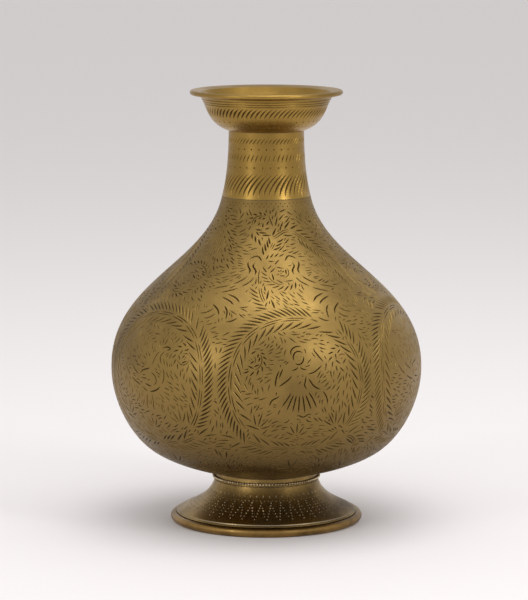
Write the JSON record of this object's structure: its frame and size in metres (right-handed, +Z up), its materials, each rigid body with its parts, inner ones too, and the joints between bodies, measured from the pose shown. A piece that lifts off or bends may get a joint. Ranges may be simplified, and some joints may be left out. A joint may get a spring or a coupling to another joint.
{
  "type": "vase",
  "caption": "Round-bellied metal vase with a waisted neck, a cup-shaped mouth with an everted lip and a flared foot on a rolled ring, chased all over.",
  "frame": {"origin": "on the vase's axis, on the surface that it stands on", "axes": "+Z up along the axis, from the foot to the mouth"},
  "size_m": [0.1582, 0.1582, 0.2205],
  "materials": {
    "body": "chased and darkened in the recesses",
    "foot": "dark brown patina",
    "worn_rim": "worn bright",
    "solder": "dull hard solder"
  },
  "bodies": {
    "root": {"foot_rim_ring": "worn_rim", "foot_shell": "foot", "beaded_wire": "worn_rim", "foot_solder_ring": "solder", "bowl_shell": "body", "belly_solder_ring": "solder", "shoulder_shell": "body", "neck_solder_ring": "solder", "neck_tube": "body", "cup_solder_ring": "solder", "mouth_cup": "body"}
  },
  "joints": []
}
